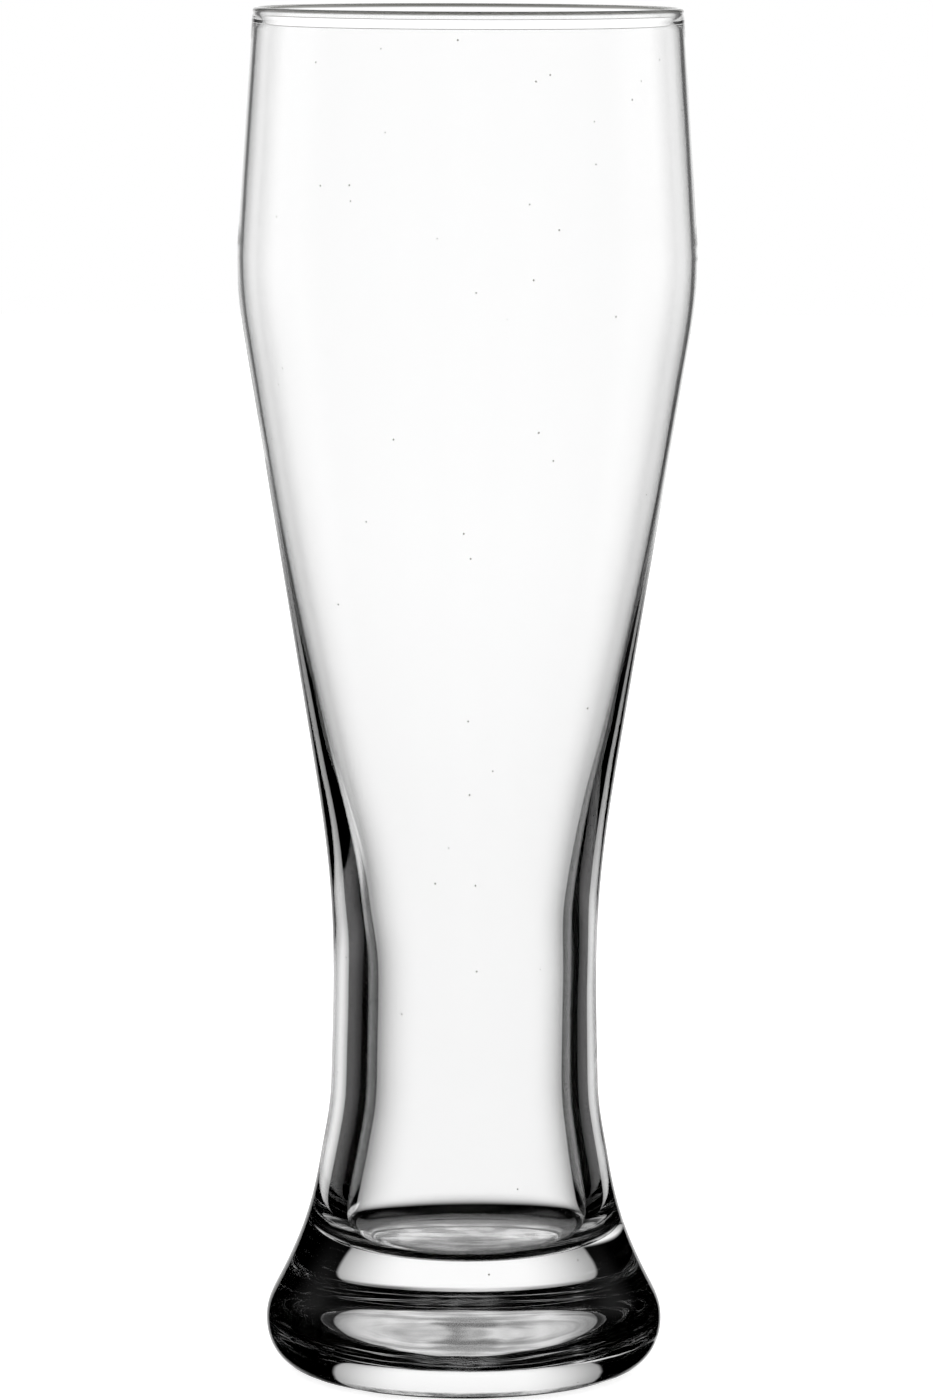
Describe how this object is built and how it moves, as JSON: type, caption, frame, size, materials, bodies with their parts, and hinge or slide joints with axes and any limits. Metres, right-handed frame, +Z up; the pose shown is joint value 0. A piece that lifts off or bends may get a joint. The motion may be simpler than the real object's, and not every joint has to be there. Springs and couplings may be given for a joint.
{
  "type": "weizen glass",
  "caption": "Tall slender wheat beer glass: thin flared bowl with a narrow waist, fused to a heavy rounded foot.",
  "frame": {"origin": "on the table, under the middle of the glass", "axes": "+Z up along the glass's axis of revolution, from the foot to the rim"},
  "size_m": [0.083, 0.083, 0.248],
  "materials": {
    "blown_glass": "gloss",
    "pressed_glass": "gloss"
  },
  "bodies": {
    "root": {"bowl": "blown_glass", "foot": "pressed_glass"}
  },
  "joints": []
}
